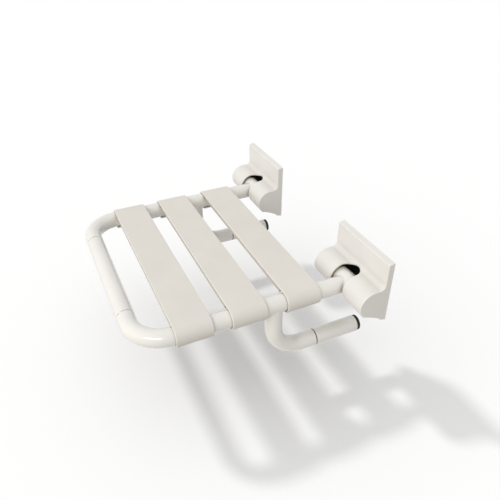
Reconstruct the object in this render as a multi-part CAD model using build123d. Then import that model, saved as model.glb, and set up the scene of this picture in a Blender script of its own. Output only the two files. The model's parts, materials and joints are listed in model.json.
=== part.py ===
from build123d import *
import os
from math import cos, radians, sin

# Fold-up shower seat for a bathroom wall, in millimetres.
# +X is to the right for a person facing the wall, +Y points into the wall and +Z is up.
# The origin lies on the wall plane, midway between the brackets and at half their height.

# --- Seat frame: steel core tube inside moulded nylon sleeves ---
TUBE_R = 16.5  # outer radius of the nylon sleeves
CORE_R = 12.5  # outer radius of the steel core tube
CORE_WALL = 2.0
SLEEVE_GAP = 0.15  # radial gap between the core and the sleeves
SIDE_X = 204.0  # side tube axis from the mid-plane
FRONT_Y = -436.0  # front bar axis
CORNER_R = 60.0  # bend radius of the front corners
FRONT_SEAM_X = 126.0  # seams between the front bar sleeve and the corner elbows
SEAM = 1.0  # open width of a sleeve seam
SEAM_CHAMFER = 0.4

# --- Hinge ---
HINGE_Y = -35.0
HINGE_Z = -21.0
TUBE_END = 12.0  # the side tube runs on past the hinge axis by this much
END_RIM = 3.0  # thickness of the plug rim that closes the tube
PIN_R = 6.0
RUNNING_FIT = 0.05
BARREL_R = 19.8  # moulded barrel that turns about the hinge axis
BARREL_HALF = 25.5  # half its width
BARREL_ROUND = 1.2
BARREL_BLEND = 3.0  # blend between the barrel and the side tube
BUSH_R = 8.0
BUSH_SEAT = 22.5  # flange seat, from the tube axis
BUSH_FACE = 25.9  # outer face of the bush flange
FLANGE_R = 11.0
FLANGE_FIT = 0.3
WASHER_FACES = (26.1, 27.0)
CHEEK_FACES = (27.3, 32.3)
PIVOT_REACH = 36.0  # the pivot bores are cut this far to each side of the tube

# --- Wall brackets and covers ---
COVER_W = 157.0
COVER_H = 128.0
COVER_D = 12.0  # depth of the plate part of the cover
COVER_DRAFT = 3.0  # its front face stops this much short of its back, above and below
SHELL = 3.0
PLATE_T = 3.0
PLATE_MARGIN = 4.5  # the steel plate is this much smaller than the cover on every side
SLOT_R = 20.8  # half width of the slot in which the tube swings
NOSE_R = 28.5
NOSE_Y = -31.5
NOSE_Z = HINGE_Z + 1.0
NOSE_END_DEG = 228.0  # where the round nose turns into the underside
NOSE_CORNER = 3.0
UNDER_RISE = 1.5  # how far the underside bows up between its ends
UNDER_MARGIN = 2.5  # from the front face's lower edge up to the underside
TOP_FILLET = 10.0  # blend between the nose and the plate part
PLATE_ROUND = 1.0  # radius along the front face's upper and lower edges
COVER_ROUND = 1.2  # radius round both ends of the cover
WALL_HOLE_R = 3.5
WALL_HOLE_X = 61.0  # wall holes from the bracket's middle
WALL_HOLE_Z = 46.0
TAB_W = 18.0
LUG_R = 15.0
LUG_REACH = 28.0  # half height of the cheeks where they meet the steel plate

# --- Slats ---
SLAT_W = 67.0
SLAT_T = 3.8
SLAT_GAP = 0.2  # radial gap between a slat's hooked end and the tube
SLAT_CENTRES = {"slat_rear": -137.0, "slat_middle": -243.0, "slat_front": -343.0}
HOOK_DEG = -125.0  # the hooked end runs from the top of the tube down to this angle
EDGE_ROUND = 1.6
RIB_X = 186.0  # the ribs stop here, beside the tube
RIB_DROP = 8.0
RIB_T = 3.0
RIB_ROUND = 0.8
RIB_BITE = 0.5  # the ribs reach this far into the sheet
RIB_OFFSETS = (31.0, 10.0)  # rib centres from the slat's middle
WEB_PITCH = 93.0
WEB_STEP = 2.0  # the webs stop this much above the ribs' lower edges
SCREW_OFFSET = 20.0  # slat screws from the slat's middle

# --- Support legs ---
LEG_R = 16.2
LEG_Y = -188.5
LEG_Z = HINGE_Z - 113.5
LEG_BEND_R = 60.0
LEG_SEAM_Y = -100.5
SEAL_T = 2.2
SEAL_INSET = 0.3  # the seal lies this far below the sleeves
CAP_FRONT_Y = -12.0
PAD_FRONT_Y = -7.0
PAD_R = 15.4
STEM_R = 5.0
BRANCH_BLEND = 3.0  # blend between a leg and its side tube

# --- Fasteners ---
SCREW_R = 2.0
SCREW_HOLE_R = 2.15
SCREW_HEAD_R = 4.0
SCREW_HEAD_T = 2.4
SCREW_HEAD_ROUND = 1.2
SCREW_HEAD_FIT = 0.4
RECESS_L = 4.4  # arms of the cross recess
RECESS_W = 0.9
RECESS_DEPTH = 1.2
SLAT_SCREW_LENGTH = 12.5
COVER_SCREW_Y = -5.0
COVER_SCREW_R = 1.5
COVER_SCREW_HOLE_R = 1.65
COVER_SCREW_HEAD_R = 2.8
COVER_SCREW_HEAD_T = 1.3
PIN_HEAD_R = 9.0
CLIP_GROOVE_R = 5.2
CLIP_T = 1.0

# --- Worked out from the above ---
REAR_END_Y = HINGE_Y + TUBE_END
SLEEVE_BORE_R = CORE_R + SLEEVE_GAP
CORE_BORE_R = CORE_R - CORE_WALL
SLAT_INNER_R = TUBE_R + SLAT_GAP
SLAT_OUTER_R = SLAT_INNER_R + SLAT_T
PLATE_W = COVER_W - 2 * PLATE_MARGIN
PLATE_H = COVER_H - 2 * PLATE_MARGIN
SLAT_SCREW_SEAT = HINGE_Z - SLAT_OUTER_R + 0.75  # the heads' seat in the slat hooks
COVER_SCREW_SEAT = -COVER_H / 2 + 3.1  # the head's seat in the cover's lower wall


def sweep_round(path, radius):
    """A round bar along a path."""
    return sweep(Plane(origin=path @ 0, z_dir=path % 0) * Circle(radius), path=path)


def rod(axis, radius, start, end, at=(0, 0, 0)):
    """A cylinder from start to end along the named axis, through the point at."""
    turn = {"x": (0, 90, 0), "y": (-90, 0, 0), "z": (0, 0, 0)}[axis]
    middle = list(at)
    middle["xyz".index(axis)] = (start + end) / 2
    return Pos(*middle) * Rot(*turn) * Cylinder(radius, abs(end - start))


def disc(axis, outer, inner, start, end, at=(0, 0, 0)):
    """A ring or a short tube."""
    return rod(axis, outer, start, end, at) - rod(axis, inner, start - 1, end + 1, at)


def left_of(shape):
    """The mirror image of a right-hand piece."""
    return mirror(shape, Plane.YZ)


def corner_path():
    """From the front seam round the right-hand corner to the front slat's middle."""
    return FilletPolyline(
        (FRONT_SEAM_X, FRONT_Y, HINGE_Z),
        (SIDE_X, FRONT_Y, HINGE_Z),
        (SIDE_X, SLAT_CENTRES["slat_front"], HINGE_Z),
        radius=CORNER_R,
    )


def frame_path():
    """The whole U of the seat frame."""
    plug_face = REAR_END_Y - END_RIM
    return FilletPolyline(
        (SIDE_X, plug_face, HINGE_Z),
        (SIDE_X, FRONT_Y, HINGE_Z),
        (-SIDE_X, FRONT_Y, HINGE_Z),
        (-SIDE_X, plug_face, HINGE_Z),
        radius=CORNER_R,
    )


def leg_path(end_y):
    """From the side tube's axis down, round the bend and back towards the wall."""
    return FilletPolyline(
        (SIDE_X, LEG_Y, HINGE_Z),
        (SIDE_X, LEG_Y, LEG_Z),
        (SIDE_X, end_y, LEG_Z),
        radius=LEG_BEND_R,
    )


def slat_screw_places():
    """Right-hand slat screw positions, two at each slat end."""
    return [y + offset for y in SLAT_CENTRES.values() for offset in (-SCREW_OFFSET, SCREW_OFFSET)]


def drill_slat_screws(shape, first_y, last_y):
    """Clearance holes for the slat screws between two places, in the tube's underside."""
    for y in slat_screw_places():
        if first_y < y < last_y:
            shape -= rod("z", SCREW_HOLE_R, HINGE_Z - TUBE_R - 5, HINGE_Z, (SIDE_X, y, 0))
    return shape


def drill_pivot(shape, radius):
    """A cross bore along the right-hand hinge axis."""
    return shape - rod("x", radius, SIDE_X - PIVOT_REACH, SIDE_X + PIVOT_REACH, (0, HINGE_Y, HINGE_Z))


def joint_edges(shape):
    """The curved edges where one round bar meets another."""
    return [edge for edge in shape.edges() if edge.geom_type == GeomType.BSPLINE]


# --- Pieces of the seat frame ---
def core_frame():
    """The U-shaped steel tube that carries the seat."""
    frame = sweep_round(frame_path(), CORE_R) - sweep_round(frame_path(), CORE_BORE_R)
    for x in (SIDE_X, -SIDE_X):
        frame -= rod("x", BUSH_R + RUNNING_FIT, x - TUBE_R, x + TUBE_R, (0, HINGE_Y, HINGE_Z))
        for y in slat_screw_places():
            frame -= rod("z", SCREW_HOLE_R, HINGE_Z - TUBE_R, HINGE_Z, (x, y, 0))
    return frame


def leg_tube():
    """Steel leg tube, coped to the side of the U-shaped tube and welded there."""
    path = leg_path(CAP_FRONT_Y - 1)
    tube = sweep_round(path, CORE_R) - sweep_round(path, CORE_BORE_R)
    cope = rod("y", CORE_R, LEG_Y - 2 * CORE_R, LEG_Y + 2 * CORE_R, (SIDE_X, 0, HINGE_Z))
    leg = tube - cope
    return max(leg.solids(), key=lambda solid: solid.volume)


def front_sleeve():
    """Straight sleeve of the front bar."""
    half = FRONT_SEAM_X - SEAM / 2
    bar = rod("x", TUBE_R, -half, half, (0, FRONT_Y, HINGE_Z))
    bar = chamfer(bar.edges().filter_by(GeomType.CIRCLE), SEAM_CHAMFER)
    return bar - rod("x", SLEEVE_BORE_R, -half - 1, half + 1, (0, FRONT_Y, HINGE_Z))


def corner_elbow():
    """Corner moulding, from the front seam to under the front slat."""
    path = corner_path()
    elbow = sweep_round(path, TUBE_R)
    elbow -= rod("x", TUBE_R + 1, FRONT_SEAM_X - 1, FRONT_SEAM_X + SEAM / 2, (0, FRONT_Y, HINGE_Z))
    elbow = chamfer(elbow.faces().sort_by(Axis.X)[0].edges(), SEAM_CHAMFER)
    elbow -= sweep_round(path, SLEEVE_BORE_R)
    return drill_slat_screws(elbow, FRONT_Y, SLAT_CENTRES["slat_front"])


def side_tee():
    """Side sleeve between the front and rear slats, moulded in one with the leg branch and its bend."""
    start, end = SLAT_CENTRES["slat_front"] + SEAM / 2, SLAT_CENTRES["slat_rear"] - SEAM / 2
    main = rod("y", TUBE_R, start, end, (SIDE_X, 0, HINGE_Z))
    branch = sweep_round(leg_path(LEG_SEAM_Y - SEAL_T / 2), LEG_R)
    tee = main + branch
    tee = fillet(joint_edges(tee), BRANCH_BLEND)
    tee -= rod("y", SLEEVE_BORE_R, start - 1, end + 1, (SIDE_X, 0, HINGE_Z))
    tee -= sweep_round(leg_path(LEG_SEAM_Y), SLEEVE_BORE_R)
    return drill_slat_screws(tee, start, end)


def hinge_sleeve():
    """Rear side sleeve, moulded in one with the barrel that turns on the pivot."""
    start = SLAT_CENTRES["slat_rear"] + SEAM / 2
    barrel = rod("x", BARREL_R, SIDE_X - BARREL_HALF, SIDE_X + BARREL_HALF, (0, HINGE_Y, HINGE_Z))
    barrel = fillet(barrel.edges().filter_by(GeomType.CIRCLE), BARREL_ROUND)
    sleeve = barrel + rod("y", TUBE_R, start, HINGE_Y, (SIDE_X, 0, HINGE_Z))
    sleeve = fillet(joint_edges(sleeve), BARREL_BLEND)
    sleeve -= rod("y", SLEEVE_BORE_R, start - 1, REAR_END_Y, (SIDE_X, 0, HINGE_Z))
    for side in (1, -1):
        recess = sorted((SIDE_X + side * BUSH_SEAT, SIDE_X + side * (BARREL_HALF + 1)))
        sleeve -= rod("x", FLANGE_R + FLANGE_FIT, *recess, (0, HINGE_Y, HINGE_Z))
    return drill_slat_screws(drill_pivot(sleeve, BUSH_R + RUNNING_FIT), start, HINGE_Y)


def tube_end_plug():
    """Nylon plug in the end of the steel tube, which backs the pivot bushes."""
    rim_face = REAR_END_Y - END_RIM
    body = rod("y", CORE_BORE_R - 0.1, HINGE_Y - 28, rim_face + 1, (SIDE_X, 0, HINGE_Z))
    rim = rod("y", CORE_R, rim_face + 0.05, REAR_END_Y - 0.05, (SIDE_X, 0, HINGE_Z))
    return drill_pivot(body + rim, BUSH_R + RUNNING_FIT)


def pivot_bush(side):
    """Flanged bush of one side of the tube; side is +1 for the outboard one."""
    inner = PIN_R + RUNNING_FIT

    def part(radius, start, end):
        faces = sorted((SIDE_X + side * start, SIDE_X + side * end))
        return rod("x", radius, *faces, (0, HINGE_Y, HINGE_Z))

    bush = part(BUSH_R, 1.0, BUSH_SEAT + 1) + part(FLANGE_R, BUSH_SEAT + 0.05, BUSH_FACE)
    return bush - part(inner, -1.0, BUSH_FACE + 1)


def pivot_bushes():
    """Four bushes, two in each side tube."""
    right = [pivot_bush(1), pivot_bush(-1)]
    return Compound(children=right + [left_of(bush) for bush in right])


# --- Slats ---
def slat_section():
    """Cross-section of a slat in X and Z: a level sheet, hooked round both side tubes."""

    def on_tube(side, radius, angle):
        return (side * (SIDE_X + radius * cos(radians(angle))), HINGE_Z + radius * sin(radians(angle)))

    middle_r = (SLAT_INNER_R + SLAT_OUTER_R) / 2
    hook_middle = (HOOK_DEG + 90) / 2
    tip_angle = radians(HOOK_DEG)
    tip_x = SIDE_X + middle_r * cos(tip_angle) + SLAT_T / 2 * sin(tip_angle)
    tip_z = HINGE_Z + middle_r * sin(tip_angle) - SLAT_T / 2 * cos(tip_angle)
    outline = []
    for side in (1, -1):
        outer = [on_tube(side, SLAT_OUTER_R, angle) for angle in (90, hook_middle, HOOK_DEG)]
        inner = [on_tube(side, SLAT_INNER_R, angle) for angle in (HOOK_DEG, hook_middle, 90)]
        outline.append(ThreePointArc(*outer))
        outline.append(ThreePointArc(outer[-1], (side * tip_x, tip_z), inner[0]))
        outline.append(ThreePointArc(*inner))
    for radius in (SLAT_OUTER_R, SLAT_INNER_R):
        outline.append(Line(on_tube(1, radius, 90), on_tube(-1, radius, 90)))
    return make_face(Curve() + outline)


def slat_ribs(centre_y):
    """The ribs along a slat's underside and the webs across them."""
    top = HINGE_Z + SLAT_INNER_R + RIB_BITE
    height = RIB_DROP + RIB_BITE
    ribs = []
    for offset in RIB_OFFSETS:
        for y in (centre_y - offset, centre_y + offset):
            rib = Pos(0, y, top - height / 2) * Box(2 * RIB_X, RIB_T, height)
            lower = rib.faces().sort_by(Axis.Z)[0].edges().filter_by(Axis.X)
            ribs.append(fillet(lower, RIB_ROUND))
    web_h = height - WEB_STEP
    for x in (RIB_T / 2 - RIB_X, -WEB_PITCH, 0, WEB_PITCH, RIB_X - RIB_T / 2):
        ribs.append(Pos(x, centre_y, top - web_h / 2) * Box(RIB_T, 2 * RIB_OFFSETS[0], web_h))
    return ribs


def slat(centre_y):
    """Moulded slat: the hooked sheet, its ribs, and the screw holes in its hooks."""
    sheet = Pos(0, centre_y, 0) * extrude(Plane.XZ * slat_section(), SLAT_W / 2, both=True)
    ends = sheet.faces().filter_by(GeomType.PLANE).filter_by(Axis.Y)
    body = fillet([edge for face in ends for edge in face.edges()], EDGE_ROUND)
    for rib in slat_ribs(centre_y):
        body += rib
    low = HINGE_Z - SLAT_OUTER_R - 1
    for x in (-SIDE_X, SIDE_X):
        for y in (centre_y - SCREW_OFFSET, centre_y + SCREW_OFFSET):
            body -= rod("z", SCREW_HOLE_R, low, HINGE_Z - TUBE_R + 1, (x, y, 0))
            body -= rod("z", SCREW_HEAD_R + SCREW_HEAD_FIT, low, SLAT_SCREW_SEAT + 0.05, (x, y, 0))
    return body


def slat_screw(x, y):
    """Pan-head screw pointing up, with a cross recess in its head."""
    low = SLAT_SCREW_SEAT - SCREW_HEAD_T
    head = rod("z", SCREW_HEAD_R, low, SLAT_SCREW_SEAT, (x, y, 0))
    head = fillet(head.faces().sort_by(Axis.Z)[0].edges(), SCREW_HEAD_ROUND)
    for size in ((RECESS_L, RECESS_W), (RECESS_W, RECESS_L)):
        head -= Pos(x, y, low) * Box(*size, 2 * RECESS_DEPTH)
    shank = rod("z", SCREW_R, SLAT_SCREW_SEAT - 0.5, SLAT_SCREW_SEAT + SLAT_SCREW_LENGTH, (x, y, 0))
    return head + chamfer(shank.faces().sort_by(Axis.Z)[-1].edges(), 0.8)


def slat_screws():
    """Twelve screws that hold the slat hooks to the side tubes."""
    return Compound(children=[slat_screw(x, y) for x in (SIDE_X, -SIDE_X) for y in slat_screw_places()])


# --- Support legs ---
def leg_sleeve():
    """Straight sleeve of the leg's level run."""
    start, end = LEG_SEAM_Y + SEAL_T / 2, CAP_FRONT_Y - 0.1
    sleeve = disc("y", LEG_R, SLEEVE_BORE_R, start, end, (SIDE_X, 0, LEG_Z))
    return chamfer(sleeve.faces().sort_by(Axis.Y)[0].edges().sort_by(SortBy.RADIUS)[-1], 0.5)


def leg_seal():
    """Dark sealing ring in the leg seam."""
    start, end = LEG_SEAM_Y - SEAL_T / 2 + 0.05, LEG_SEAM_Y + SEAL_T / 2 - 0.05
    return disc("y", LEG_R - SEAL_INSET, SLEEVE_BORE_R, start, end, (SIDE_X, 0, LEG_Z))


def leg_seals():
    """Both sealing rings."""
    return Compound(children=[leg_seal(), left_of(leg_seal())])


def leg_end_cap():
    """Nylon cap in the end of the leg, with a socket for the foot pad's stem."""
    cap = rod("y", LEG_R, CAP_FRONT_Y, PAD_FRONT_Y, (SIDE_X, 0, LEG_Z))
    cap = fillet(cap.edges().filter_by(GeomType.CIRCLE), 0.7)
    cap += rod("y", CORE_BORE_R - 0.1, CAP_FRONT_Y - 24, CAP_FRONT_Y + 1, (SIDE_X, 0, LEG_Z))
    return cap - rod("y", STEM_R + 0.1, CAP_FRONT_Y - 14, PAD_FRONT_Y + 1, (SIDE_X, 0, LEG_Z))


def foot_pad():
    """Rubber pad that bears on the wall."""
    pad = rod("y", PAD_R, PAD_FRONT_Y + 0.1, 0, (SIDE_X, 0, LEG_Z))
    pad = fillet(pad.faces().sort_by(Axis.Y)[-1].edges(), 1.2)
    return pad + rod("y", STEM_R, CAP_FRONT_Y - 12, PAD_FRONT_Y + 1, (SIDE_X, 0, LEG_Z))


# --- Brackets ---
def wall_bracket():
    """Steel wall plate with the two hinge cheeks and the cover's fixing tab welded on."""
    plate = Pos(SIDE_X, -PLATE_T / 2, 0) * Box(PLATE_W, PLATE_T, PLATE_H)
    plate = fillet(plate.edges().filter_by(Axis.Y), 5)
    for x in (SIDE_X - WALL_HOLE_X, SIDE_X + WALL_HOLE_X):
        for z in (-WALL_HOLE_Z, WALL_HOLE_Z):
            plate -= rod("y", WALL_HOLE_R, -PLATE_T - 1, 1, (x, 0, z))
    cheek_outline = make_hull(
        (Pos(HINGE_Y, HINGE_Z) * Circle(LUG_R)).edges()
        + (Pos(-PLATE_T, HINGE_Z) * Rectangle(0.2, 2 * LUG_REACH)).edges()
    )
    for start in (SIDE_X + CHEEK_FACES[0], SIDE_X - CHEEK_FACES[1]):
        cheek_plane = Plane(origin=(start, 0, 0), x_dir=(0, 1, 0), z_dir=(1, 0, 0))
        plate += extrude(cheek_plane * cheek_outline, CHEEK_FACES[1] - CHEEK_FACES[0])
    plate = drill_pivot(plate, PIN_R + RUNNING_FIT)
    tab_front = -COVER_D + SHELL + 0.5
    tab_z = -COVER_H / 2 + SHELL + 2.6 + PLATE_T / 2
    plate += Pos(SIDE_X, tab_front / 2, tab_z) * Box(TAB_W, -tab_front, PLATE_T)
    return plate - rod("z", COVER_SCREW_HOLE_R, tab_z - 4, tab_z + 4, (SIDE_X, COVER_SCREW_Y, 0))


def cover_outline(back):
    """Side profile of the cover, in Y and Z: plate part and hub in one, closed at the given depth."""

    def on_nose(angle):
        return (NOSE_Y + NOSE_R * cos(radians(angle)), NOSE_Z + NOSE_R * sin(radians(angle)))

    front = -COVER_D
    front_half = COVER_H / 2 - COVER_DRAFT
    back_half = COVER_H / 2 + COVER_DRAFT * back / COVER_D
    top = NOSE_Z + NOSE_R
    bow = TOP_FILLET * (1 - sin(radians(45)))
    upper = (front, front_half)
    lower = (front, -front_half)
    blend_start = (front, top + TOP_FILLET)
    blend_middle = (front - bow, top + bow)
    blend_end = (front - TOP_FILLET, top)
    under_start = on_nose(NOSE_END_DEG)
    under_end = (front, -front_half + UNDER_MARGIN)
    under_middle = ((under_start[0] + under_end[0]) / 2, (under_start[1] + under_end[1]) / 2 + UNDER_RISE)
    outline = Curve() + [
        Line((back, back_half), upper),
        Line(upper, blend_start),
        ThreePointArc(blend_start, blend_middle, blend_end),
        Line(blend_end, (NOSE_Y, top)),
        ThreePointArc((NOSE_Y, top), on_nose((90 + NOSE_END_DEG) / 2), under_start),
        ThreePointArc(under_start, under_middle, under_end),
        Line(under_end, lower),
        Line(lower, (back, -back_half)),
        Line((back, -back_half), (back, back_half)),
    ]
    face = make_face(outline)
    for point, radius in ((under_start, NOSE_CORNER), (upper, PLATE_ROUND), (lower, PLATE_ROUND)):
        corner = face.vertices().sort_by_distance(Vertex(*point, 0))[0]
        face = fillet(corner, radius)
    return face


def along_bracket(outline, half_width):
    """A side profile drawn out along X, centred on the bracket."""
    side_plane = Plane(origin=(SIDE_X, 0, 0), x_dir=(0, 1, 0), z_dir=(1, 0, 0))
    return extrude(side_plane * outline, half_width, both=True)


def bracket_cover():
    """Moulded cover: a plate with a rounded hub, hollow behind, and the slot for the tube."""
    cover = along_bracket(cover_outline(0), COVER_W / 2)
    rims = [edge for face in cover.faces().filter_by(Axis.X) for edge in face.edges()]
    cover = fillet([edge for edge in rims if edge.center().Y < -PLATE_ROUND], COVER_ROUND)
    cover -= along_bracket(offset(cover_outline(SHELL), amount=-SHELL), COVER_W / 2 - SHELL)

    slot_z = (HINGE_Z - 50, HINGE_Z + 50)
    cover -= rod("z", SLOT_R, *slot_z, (SIDE_X, HINGE_Y, 0))
    cover -= Pos(SIDE_X, HINGE_Y - 25, HINGE_Z) * Box(2 * SLOT_R, 50, slot_z[1] - slot_z[0])

    screw_at = (SIDE_X, COVER_SCREW_Y, 0)
    low = -COVER_H / 2 - 1
    cover -= rod("z", COVER_SCREW_HOLE_R, low, COVER_SCREW_SEAT + 3, screw_at)
    return cover - rod("z", COVER_SCREW_HEAD_R + 0.3, low, COVER_SCREW_SEAT, screw_at)


def hinge_pin():
    """Headed steel pin with a groove for its retaining ring."""
    at = (0, HINGE_Y, HINGE_Z)
    head_face = SIDE_X + CHEEK_FACES[1] + 0.2
    tail = SIDE_X - CHEEK_FACES[1] - 3.5
    pin = rod("x", PIN_R, tail, head_face + 1, at)
    pin = chamfer(pin.faces().sort_by(Axis.X)[0].edges(), 1)
    head = rod("x", PIN_HEAD_R, head_face, head_face + 3, at)
    head = chamfer(head.faces().sort_by(Axis.X)[-1].edges(), 0.8)
    groove = SIDE_X - CHEEK_FACES[1] - 0.3
    return pin + head - disc("x", PIN_R + 1, CLIP_GROOVE_R, groove - CLIP_T - 0.1, groove, at)


def pin_circlip():
    """Open retaining ring in the pin's groove."""
    at = (0, HINGE_Y, HINGE_Z)
    face = SIDE_X - CHEEK_FACES[1] - 0.35
    ring = disc("x", PIN_HEAD_R, CLIP_GROOVE_R + 0.05, face - CLIP_T, face, at)
    return ring - Pos(face, HINGE_Y, HINGE_Z - PIN_HEAD_R) * Box(4, 7, 2 * PIN_HEAD_R)


def pin_circlips():
    """Both retaining rings."""
    return Compound(children=[pin_circlip(), left_of(pin_circlip())])


def friction_washers():
    """Four washers between the bush flanges and the cheeks."""
    at = (0, HINGE_Y, HINGE_Z)
    inner = PIN_R + 0.1
    right = [
        disc("x", FLANGE_R, inner, SIDE_X + WASHER_FACES[0], SIDE_X + WASHER_FACES[1], at),
        disc("x", FLANGE_R, inner, SIDE_X - WASHER_FACES[1], SIDE_X - WASHER_FACES[0], at),
    ]
    return Compound(children=right + [left_of(washer) for washer in right])


def cover_screw():
    """Small screw that holds the cover to the bracket's tab from below."""
    at = (SIDE_X, COVER_SCREW_Y, 0)
    head = rod("z", COVER_SCREW_HEAD_R, COVER_SCREW_SEAT - COVER_SCREW_HEAD_T, COVER_SCREW_SEAT, at)
    shank = rod("z", COVER_SCREW_R, COVER_SCREW_SEAT - 0.5, COVER_SCREW_SEAT + 5.5, at)
    recess = Pos(SIDE_X, COVER_SCREW_Y, COVER_SCREW_SEAT - COVER_SCREW_HEAD_T) * Box(0.8, 4, 1.2)
    return head + shank - recess


def cover_screws():
    """One screw for each cover."""
    return Compound(children=[cover_screw(), left_of(cover_screw())])


# --- Every node; the paired pieces are built on the right and mirrored to the left ---
PAIRED = {
    "wall_bracket": wall_bracket,
    "bracket_cover": bracket_cover,
    "hinge_pin": hinge_pin,
    "corner_elbow": corner_elbow,
    "side_tee": side_tee,
    "hinge_sleeve": hinge_sleeve,
    "tube_end_plug": tube_end_plug,
    "leg_tube": leg_tube,
    "leg_sleeve": leg_sleeve,
    "leg_end_cap": leg_end_cap,
    "foot_pad": foot_pad,
}
SINGLE = {
    "pin_circlips": pin_circlips,
    "friction_washers": friction_washers,
    "cover_screws": cover_screws,
    "core_frame": core_frame,
    "front_sleeve": front_sleeve,
    "pivot_bushes": pivot_bushes,
    "slat_screws": slat_screws,
    "leg_seals": leg_seals,
}

nodes = {name: build() for name, build in SINGLE.items()}
for name, build in PAIRED.items():
    piece = build()
    nodes[name + "_right"] = piece
    nodes[name + "_left"] = left_of(piece)
for name, centre_y in SLAT_CENTRES.items():
    nodes[name] = slat(centre_y)

os.makedirs("parts", exist_ok=True)
for name, shape in nodes.items():
    export_step(shape, f"parts/{name}.step")
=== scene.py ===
# Looks of the fold-up shower seat: camera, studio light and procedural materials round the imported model.
# Every visible shape is a CAD node: nothing is replaced, and only the camera, a floor and lamps are added.

import json
import math

import bpy
from mathutils import Matrix, Vector


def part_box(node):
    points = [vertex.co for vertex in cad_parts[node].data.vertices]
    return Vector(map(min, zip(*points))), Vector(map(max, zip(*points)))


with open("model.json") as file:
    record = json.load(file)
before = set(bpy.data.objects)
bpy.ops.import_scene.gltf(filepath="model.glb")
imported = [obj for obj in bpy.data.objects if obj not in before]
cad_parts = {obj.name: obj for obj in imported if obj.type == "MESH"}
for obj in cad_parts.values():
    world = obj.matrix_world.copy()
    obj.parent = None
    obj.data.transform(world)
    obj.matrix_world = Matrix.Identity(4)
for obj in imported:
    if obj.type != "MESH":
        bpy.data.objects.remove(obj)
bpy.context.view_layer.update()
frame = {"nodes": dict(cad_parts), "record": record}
scene = bpy.context.scene
scene.view_settings.view_transform = "Standard"

# --- Camera, in the row frame, held level ---
CAMERA_AZIMUTH = math.radians(65.084)
CAMERA_ELEVATION = math.radians(34.603)
CAMERA_AT = Vector((0.83047, -0.52710, 0.58683))
CAMERA_LENS = 37.77
SENSOR_WIDTH = 36.0
UPWARD = Vector((0.0, 0.0, 1.0))

# --- Patterns: scales in cycles per metre, heights in metres ---
MOST_NOISE = (0.3, 0.7)  # nearly all of a noise lies in this span
WHOLE = (0.0, 1.0)  # from none to all
NODE_SAMPLES = 6  # rays that the edge and the crevice nodes send out

# --- Nylon: colour ---
CLOUD_SCALE = 14.0
CLOUD_SHADE = 0.955
SPECK_SCALE = 900.0
SPECK_SPAN = (0.66, 0.78)  # only the peaks of the noise become specks
SPECK_SHARE = 0.10
SPECK_SHADE = (0.72, 0.70, 0.64)

# --- Nylon: rubbed edges with a painted highlight, and painted shade in the crevices ---
EDGE_WIDTH = 0.0022
EDGE_SPAN = (0.99, 0.93)  # cosine between the rounded and the true normal, from flat to edge
# a pale cream, painted on the edges as a highlight
EDGE_HIGHLIGHT_COLOR = (1.0, 0.985, 0.93)
RUB_AND_HIGHLIGHT_SCALE = 60.0
RUB_AND_HIGHLIGHT_SPAN = (0.3, 0.6)
RUB_AND_HIGHLIGHT_LEAST = 0.6  # rubbing and its painted highlight are patchy: between this share and all of it
CREVICE_SHADE_REACH = 0.030
CREVICE_SHADE_SPAN = (0.15, 0.85)  # how open the surroundings are, from full painted shade to none
CREVICE_SHADE_DEPTH = 0.95
# a brownish dark, painted as shade into the crevices
CREVICE_SHADE_COLOR = (0.50, 0.45, 0.36)

# --- Nylon: roughness and relief ---
PATCH_SCALE = 38.0
PATCH_RANGE = (-0.04, 0.05)  # added to the roughness
SCUFF_STRETCH = (18.0, 260.0, 260.0)  # scuffs run along X
SCUFF_SPAN = (0.62, 0.74)
SCUFF_ROUGHER = 0.10
EDGE_SMOOTHER = -0.12
PEEL_SCALE = 150.0
PEEL_HEIGHT = 0.0004
GRAIN_SCALE = 2600.0
GRAIN_HEIGHT = 0.00006
NYLON_IOR = 1.53
COAT_ROUGHNESS = 0.035

# --- Rubber, coated steel and machined steel ---
DUST_SPAN = (0.45, 0.75)
DUST_MOST = 0.35
RUBBER_ROUGHNESS = (0.52, 0.68)
COATED_ROUGHNESS = (0.34, 0.5)
STEEL_SHADE = 0.85
STEEL_RANGE = (-0.06, 0.08)  # added to the roughness

# --- Ribbed underside of a slat, painted darker as shade, and given less painted crevice shade ---
SHEET_T = 0.0038  # thickness of a slat's sheet, above its ribs
RIB_END_X = 0.1868  # the ribs stop here, beside the tubes
UNDERSIDE_START = 0.0008  # above the sheet's lower face
UNDERSIDE_FULL = 0.0002
UNDERSIDE_FADE = 0.0005  # each side of the ribs' end
# painted shade on the ribs under the sheet, and the share of the painted crevice shade kept there
UNDERSIDE_SHADE = (0.72, 0.70, 0.66)
UNDERSIDE_CREVICE_SHADE = 0.2

# --- Floor and backdrop, in linear colour ---
FLOOR_Z = -0.25
FLOOR_HALF = 14.0
FLOOR_COLOR = (0.85, 0.85, 0.85)
FLOOR_ROUGHNESS = 0.95
BACKDROP = (0.955, 0.955, 0.955)
WHITE = (1.0, 1.0, 1.0)

# --- Light all round: a base, more from above, the front and, by a trace, the left, less from below ---
SKY_ABOVE = (0.99, 1.0, 1.01)
SKY_BELOW = (1.0, 0.945, 0.86)
SKY_BASE = 0.70
SKY_UP = 0.33
SKY_FRONT = 0.44
SKY_RIGHT = -0.03
SKY_DIM = 0.32
SKY_DIM_BELOW = 0.25  # the dimming starts this far below level, as a share of straight down
SKY_LEAST = 0.06
STUDIO_WALLS = 0.85  # the even brightness that reflections see instead

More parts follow.
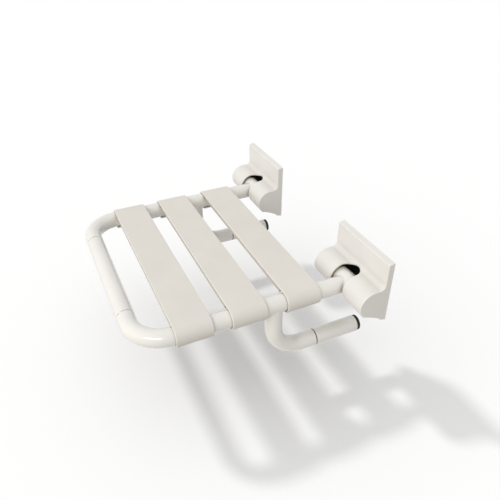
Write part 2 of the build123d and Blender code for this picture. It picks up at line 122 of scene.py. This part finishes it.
# --- Lamps: powers in watts, except the shadow's strength ---
SHADOW_TRAVEL = Vector((0.538, 0.381, -0.752))
SHADOW_LAMP_AWAY = 3.0
SHADOW_STRENGTH = 1.13
SHADOW_ANGLE = math.radians(6.0)
FILL_AT = Vector((0.80, -1.65, 0.75))
FILL_AIM = Vector((0.05, -0.20, 0.0))
FILL_SIZE = 1.2
FILL_POWER = 5.4
LAMP_ROW_AT = Vector((1.52, -1.66, 1.20))
LAMP_ROW_AIM = Vector((0.20, -0.41, -0.01))
LAMP_COUNT = 4
LAMP_STEP = 0.36
LAMP_SIZE = 0.06
LAMP_POWER = 4.0


def rgba(color):
    """A colour with full alpha."""
    return (*color, 1.0)


def toned(color, factor, lift=0.0):
    """A colour with each channel multiplied by a factor and raised by a lift."""
    return tuple(channel * factor + lift for channel in color)


def place_camera():
    """The camera at the photograph's viewing angle."""
    data = bpy.data.cameras.new("camera")
    data.sensor_width = SENSOR_WIDTH
    data.lens = CAMERA_LENS
    camera = bpy.data.objects.new("camera", data)
    back = Vector((
        math.sin(CAMERA_AZIMUTH) * math.cos(CAMERA_ELEVATION),
        -math.cos(CAMERA_AZIMUTH) * math.cos(CAMERA_ELEVATION),
        math.sin(CAMERA_ELEVATION),
    ))
    right = (-back).cross(UPWARD).normalized()
    up = right.cross(-back)
    turn = Matrix((right, up, back)).transposed()
    camera.matrix_world = Matrix.Translation(CAMERA_AT) @ turn.to_4x4()
    scene.collection.objects.link(camera)
    scene.camera = camera


class Nodes:
    """Short way to add and link shader nodes in one tree."""

    def __init__(self, tree):
        self.tree = tree

    def put(self, socket, value):
        """Gives an input a constant, or a link from another socket."""
        if isinstance(value, bpy.types.NodeSocket):
            self.tree.links.new(value, socket)
        else:
            socket.default_value = value

    def add(self, kind, values=None, **settings):
        """A new node; values go to its inputs, by name or by number."""
        node = self.tree.nodes.new(kind)
        for name, value in settings.items():
            setattr(node, name, value)
        for name, value in (values or {}).items():
            self.put(node.inputs[name], value)
        return node

    def remap(self, value, span, result):
        """A value stretched so that the span becomes the result, and held at both ends."""
        ends = {"From Min": span[0], "From Max": span[1], "To Min": result[0], "To Max": result[1]}
        return self.add("ShaderNodeMapRange", {"Value": value, **ends}).outputs["Result"]

    def math(self, operation, *values):
        """One arithmetic step on one or two values."""
        return self.add("ShaderNodeMath", dict(enumerate(values)), operation=operation).outputs[0]

    def mix(self, share, a, b, blend="MIX"):
        """Colour a, with this share of b put over it; inputs 6 and 7 are the two colours."""
        node = self.add("ShaderNodeMix", {0: share}, data_type="RGBA", blend_type=blend)
        self.put(node.inputs[6], a)
        self.put(node.inputs[7], b)
        return node.outputs[2]

    def choose(self, share, a, b):
        """Shader a, or shader b where the share is 1."""
        return self.add("ShaderNodeMixShader", {0: share, 1: a, 2: b}).outputs[0]

    def split(self, vector):
        """A vector's X, Y and Z."""
        return self.add("ShaderNodeSeparateXYZ", {0: vector}).outputs


class Look(Nodes):
    """A procedural material, whose patterns follow the object's own coordinates."""

    def __init__(self, name):
        self.material = bpy.data.materials.new(name)
        self.material.use_nodes = True
        super().__init__(self.material.node_tree)
        self.shader = self.tree.nodes["Principled BSDF"]
        self.place = self.add("ShaderNodeTexCoord").outputs["Object"]

    def set(self, socket, value):
        """Gives one of the shader's own inputs a constant or a link."""
        self.put(self.shader.inputs[socket], value)

    def noise(self, scale, detail):
        """Even noise, a value from 0 to 1."""
        return self.noise_at(self.place, scale, detail)

    def lines(self, stretch, detail):
        """Noise with a scale for each axis, which makes lines along the axis of the smallest."""
        mapped = self.add("ShaderNodeMapping", {"Vector": self.place, "Scale": stretch}).outputs[0]
        return self.noise_at(mapped, 1.0, detail)

    def noise_at(self, place, scale, detail):
        """Noise at a place."""
        values = {"Vector": place, "Scale": scale, "Detail": detail}
        return self.add("ShaderNodeTexNoise", values).outputs["Fac"]

    def bump(self, height, strength, distance, normal=None):
        """The normal of a relief, over another normal where one is given."""
        values = {"Height": height, "Strength": strength, "Distance": distance}
        if normal is not None:
            values["Normal"] = normal
        return self.add("ShaderNodeBump", values).outputs["Normal"]

    def edge(self):
        """How near the surface is to an edge: 1 on it, 0 away from it."""
        rounded = self.add("ShaderNodeBevel", {"Radius": EDGE_WIDTH}, samples=NODE_SAMPLES).outputs["Normal"]
        flat = self.add("ShaderNodeNewGeometry").outputs["Normal"]
        cosine = self.add("ShaderNodeVectorMath", {0: rounded, 1: flat}, operation="DOT_PRODUCT")
        return self.remap(cosine.outputs["Value"], EDGE_SPAN, WHOLE)

    def openness(self):
        """How open the surroundings are: 1 in the open, 0 in a crevice."""
        values = {"Distance": CREVICE_SHADE_REACH}
        return self.add("ShaderNodeAmbientOcclusion", values, samples=NODE_SAMPLES).outputs["AO"]


def moulded_nylon(name, color, roughness, grain, peel=0.1, coat=0.0, rub_and_highlight=1.0, shaded_part=None):
    """Injection-moulded nylon. peel and grain are the strengths of its long waves and of its fine
    spark-eroded grain, coat is its lacquer, the edge share sets how worn its edges are and how strong their
    painted highlight is, and the shaded-part finder picks the part that gets painted shade."""
    look = Look(name)
    patchy = look.remap(look.noise(RUB_AND_HIGHLIGHT_SCALE, detail=3.0), RUB_AND_HIGHLIGHT_SPAN, (RUB_AND_HIGHLIGHT_LEAST * rub_and_highlight, rub_and_highlight))
    # edges: worn smoother, and painted with a highlight in the base colour
    rubbed_and_highlit = look.math("MULTIPLY", look.edge(), patchy)
    look.set("Base Color", nylon_color(look, color, rubbed_and_highlit, shaded_part))
    look.set("Roughness", nylon_roughness(look, roughness, rubbed_and_highlit))
    waves = look.bump(look.noise(PEEL_SCALE, detail=2.0), peel, PEEL_HEIGHT)
    look.set("Normal", look.bump(look.noise(GRAIN_SCALE, detail=2.0), grain, GRAIN_HEIGHT, waves))
    look.set("IOR", NYLON_IOR)
    look.set("Coat Weight", coat)
    look.set("Coat Roughness", COAT_ROUGHNESS)
    return look.material


def nylon_color(look, color, rubbed_and_highlit, shaded_part):
    """Cloudy colour with faint dark specks, a painted highlight on rubbed edges, and painted shade in the
    crevices and on any part picked as shaded.
    """
    cloud = look.remap(look.noise(CLOUD_SCALE, detail=3.0), MOST_NOISE, WHOLE)
    base = look.mix(cloud, rgba(toned(color, CLOUD_SHADE)), rgba(color))
    specks = look.remap(look.noise(SPECK_SCALE, detail=1.0), SPECK_SPAN, (0.0, SPECK_SHARE))
    speck_color = [channel * shade for channel, shade in zip(color, SPECK_SHADE)]
    base = look.mix(specks, base, rgba(speck_color))
    # painted highlight on the edges
    base = look.mix(rubbed_and_highlit, base, rgba(EDGE_HIGHLIGHT_COLOR))
    # painted shade in the crevices: darker where the ambient occlusion finds the surroundings closed
    crevice_shade = look.remap(look.openness(), CREVICE_SHADE_SPAN, (CREVICE_SHADE_DEPTH, 0.0))
    if shaded_part is not None:
        # painted shade on the part picked as shaded, with less painted crevice shade there
        under = shaded_part(look)
        base = look.mix(under, base, rgba(UNDERSIDE_SHADE), blend="MULTIPLY")
        crevice_shade = look.math("MULTIPLY", crevice_shade, look.remap(under, WHOLE, (1.0, UNDERSIDE_CREVICE_SHADE)))
    return look.mix(crevice_shade, base, rgba(CREVICE_SHADE_COLOR), blend="MULTIPLY")


def nylon_roughness(look, roughness, rubbed_and_highlit):
    """Patchy roughness, higher in fine scuffs and lower on rubbed edges."""
    low, high = PATCH_RANGE
    uneven = look.noise(PATCH_SCALE, detail=4.0)
    patches = look.remap(uneven, MOST_NOISE, (roughness + low, roughness + high))
    scuffs = look.remap(look.lines(SCUFF_STRETCH, detail=3.0), SCUFF_SPAN, (0.0, SCUFF_ROUGHER))
    worn = look.math("MULTIPLY", rubbed_and_highlit, EDGE_SMOOTHER)
    return look.math("ADD", look.math("ADD", patches, scuffs), worn)


def slat_underside(look):
    """1 on the ribbed underside of a slat, which is painted with shade, 0 on its sheet and hooks."""
    axes = look.split(look.place)
    sheet_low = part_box("slat_middle")[1][2] - SHEET_T
    below = look.remap(axes["Z"], (sheet_low + UNDERSIDE_START, sheet_low + UNDERSIDE_FULL), WHOLE)
    ribs = (RIB_END_X - UNDERSIDE_FADE, RIB_END_X + UNDERSIDE_FADE)
    inside = look.remap(look.math("ABSOLUTE", axes["X"]), ribs, (1.0, 0.0))
    return look.math("MULTIPLY", below, inside)


def rubber(name, color):
    """Moulded rubber: dusty, slightly mottled, with a soft fine grain."""
    look = Look(name)
    dust = look.remap(look.noise(scale=160.0, detail=4.0), DUST_SPAN, (0.0, DUST_MOST))
    dusty = toned(color, factor=0.6, lift=0.06)
    look.set("Base Color", look.mix(dust, rgba(color), rgba(dusty)))
    look.set("Roughness", look.remap(look.noise(scale=300.0, detail=3.0), MOST_NOISE, RUBBER_ROUGHNESS))
    look.set("Normal", look.bump(look.noise(scale=1400.0, detail=3.0), strength=0.35, distance=0.0001))
    return look.material


def coated_steel(name, color):
    """Black electro-coated sheet: even, with a trace of orange peel."""
    look = Look(name)
    cloud = look.remap(look.noise(scale=40.0, detail=3.0), MOST_NOISE, WHOLE)
    paler = toned(color, factor=1.5, lift=0.004)
    look.set("Base Color", look.mix(cloud, rgba(color), rgba(paler)))
    look.set("Roughness", look.remap(look.noise(scale=120.0, detail=3.0), MOST_NOISE, COATED_ROUGHNESS))
    look.set("Normal", look.bump(look.noise(scale=700.0, detail=2.0), strength=0.2, distance=0.00008))
    return look.material


def machined_steel(name, color, roughness, stretch):
    """Turned or drawn steel: fine lines along one direction and uneven gloss."""
    look = Look(name)
    brushed = look.lines(stretch, detail=3.0)
    look.set("Base Color", look.mix(brushed, rgba(toned(color, STEEL_SHADE)), rgba(color)))
    low, high = STEEL_RANGE
    look.set("Roughness", look.remap(brushed, MOST_NOISE, (roughness + low, roughness + high)))
    look.set("Normal", look.bump(brushed, strength=0.15, distance=0.00005))
    look.set("Metallic", 1.0)
    return look.material


def paint_nodes():
    """Gives every carried-over CAD node its material, by the record's material slot."""
    # every nylon finish gets painted shade in its crevices and, by its edge share, a painted highlight on its
    # edges; the slats also get painted shade on their undersides
    finishes = {
        "cover_nylon": moulded_nylon(
            "cover_nylon_look", (0.79, 0.77, 0.73), roughness=0.36, grain=0.25
        ),
        "tube_nylon": moulded_nylon(
            "tube_nylon_look", (0.835, 0.815, 0.765), roughness=0.22, grain=0.08, peel=0.06, coat=1.0, rub_and_highlight=0.0
        ),
        # slats: painted shade on their ribbed undersides
        "slat_nylon": moulded_nylon(
            "slat_nylon_look", (0.765, 0.725, 0.665), roughness=0.46, grain=0.45, shaded_part=slat_underside
        ),
        "cap_nylon": moulded_nylon(
            "cap_nylon_look", (0.82, 0.80, 0.73), roughness=0.26, grain=0.12, coat=0.2, rub_and_highlight=0.4
        ),
        "pad_rubber": rubber("pad_rubber_look", (0.004, 0.004, 0.004)),
        "seal_rubber": rubber("seal_rubber_look", (0.020, 0.018, 0.015)),
        "bracket_steel": coated_steel("bracket_steel_look", (0.006, 0.006, 0.0065)),
        "frame_steel": machined_steel(
            "frame_steel_look", (0.30, 0.30, 0.31), roughness=0.48, stretch=(300.0, 20.0, 300.0)
        ),
        "stainless_steel": machined_steel(
            "stainless_look", (0.70, 0.69, 0.67), roughness=0.26, stretch=(30.0, 700.0, 700.0)
        ),
        "bush_plastic": moulded_nylon(
            "bush_plastic_look", (0.70, 0.69, 0.64), roughness=0.4, grain=0.2
        ),
    }
    for part in frame["record"]["subparts"]:
        node = frame["nodes"][part["node"]]
        finish = finishes[part["material_slot"]]
        if not node.material_slots:
            node.data.materials.append(finish)
        for slot in node.material_slots:
            slot.material = finish


def lay_floor():
    """A plain pale floor that fills the view; the world lights the object from below instead."""
    half = FLOOR_HALF
    sides = [(-half, -half), (half, -half), (half, half), (-half, half)]
    mesh = bpy.data.meshes.new("floor")
    mesh.from_pydata([(x, y, FLOOR_Z) for x, y in sides], [], [(0, 1, 2, 3)])
    floor = bpy.data.objects.new("floor", mesh)
    scene.collection.objects.link(floor)
    floor.visible_diffuse = False
    floor.visible_glossy = False
    floor.visible_shadow = False
    look = Look("floor_look")
    look.set("Base Color", rgba(FLOOR_COLOR))
    look.set("Roughness", FLOOR_ROUGHNESS)
    look.set("Specular IOR Level", 0.0)
    mesh.materials.append(look.material)
    return floor


def light_all_round():
    """The world: a soft gradient lights the object, while reflections and the camera see even walls."""
    world = bpy.data.worlds.new("studio")
    scene.world = world
    world.use_nodes = True
    tree = world.node_tree
    nodes = Nodes(tree)
    soft = tree.nodes["Background"]
    axes = nodes.split(nodes.add("ShaderNodeTexCoord").outputs["Generated"])
    up = nodes.math("MULTIPLY", axes["Z"], SKY_UP)
    front = nodes.math("MULTIPLY", axes["Y"], -SKY_FRONT)
    right = nodes.math("MULTIPLY", axes["X"], SKY_RIGHT)
    strength = nodes.math("ADD", nodes.math("ADD", up, front), nodes.math("ADD", right, SKY_BASE))
    down = nodes.math("MULTIPLY", axes["Z"], -1.0)
    depth = nodes.math("MAXIMUM", nodes.math("SUBTRACT", down, SKY_DIM_BELOW), 0.0)
    strength = nodes.math("SUBTRACT", strength, nodes.math("MULTIPLY", depth, SKY_DIM))
    nodes.put(soft.inputs["Strength"], nodes.math("MAXIMUM", strength, SKY_LEAST))
    level = nodes.remap(axes["Z"], (-1.0, 1.0), WHOLE)
    nodes.put(soft.inputs["Color"], nodes.mix(level, rgba(SKY_BELOW), rgba(SKY_ABOVE)))

    ray = nodes.add("ShaderNodeLightPath").outputs
    walls = nodes.add("ShaderNodeBackground", {"Color": rgba(WHITE), "Strength": STUDIO_WALLS})
    backdrop = nodes.add("ShaderNodeBackground", {"Color": rgba(BACKDROP), "Strength": 1.0})
    around = nodes.choose(ray["Is Glossy Ray"], soft.outputs[0], walls.outputs[0])
    around = nodes.choose(ray["Is Camera Ray"], around, backdrop.outputs[0])
    nodes.put(tree.nodes["World Output"].inputs["Surface"], around)


def add_lamp(name, kind, place, aim, power, **settings):
    """A lamp at a place, shining along aim."""
    lamp = bpy.data.lights.new(name, kind)
    lamp.energy = power
    for key, value in settings.items():
        setattr(lamp, key, value)
    holder = bpy.data.objects.new(name, lamp)
    holder.location = place
    holder.rotation_euler = (-aim).to_track_quat("Z", "Y").to_euler()
    scene.collection.objects.link(holder)
    return holder


def hang_lamps(floor):
    """A broad fill lamp and a row of small lamps for highlights, both off the floor, and the floor's
    own lamp, which throws the object's shadow on it."""
    only_floor = bpy.data.collections.new("only_floor")
    only_floor.objects.link(floor)
    all_but_floor = bpy.data.collections.new("all_but_floor")
    all_but_floor.objects.link(floor)
    all_but_floor.collection_objects[0].light_linking.link_state = "EXCLUDE"

    fill = add_lamp("fill", "AREA", FILL_AT, FILL_AIM - FILL_AT, FILL_POWER, size=FILL_SIZE)
    fill.light_linking.receiver_collection = all_but_floor
    fill.visible_glossy = False
    along = (LAMP_ROW_AIM - LAMP_ROW_AT).cross(UPWARD).normalized()
    for index in range(LAMP_COUNT):
        at = LAMP_ROW_AT + along * LAMP_STEP * (index - (LAMP_COUNT - 1) / 2)
        lamp = add_lamp(f"lamp_{index}", "AREA", at, LAMP_ROW_AIM - at, LAMP_POWER, size=LAMP_SIZE)
        lamp.light_linking.receiver_collection = all_but_floor
        lamp.visible_diffuse = False
    away = -SHADOW_TRAVEL * SHADOW_LAMP_AWAY
    shadow = add_lamp("shadow", "SUN", away, SHADOW_TRAVEL, SHADOW_STRENGTH, angle=SHADOW_ANGLE)
    shadow.light_linking.receiver_collection = only_floor


place_camera()
stage_floor = lay_floor()
light_all_round()
hang_lamps(stage_floor)
paint_nodes()
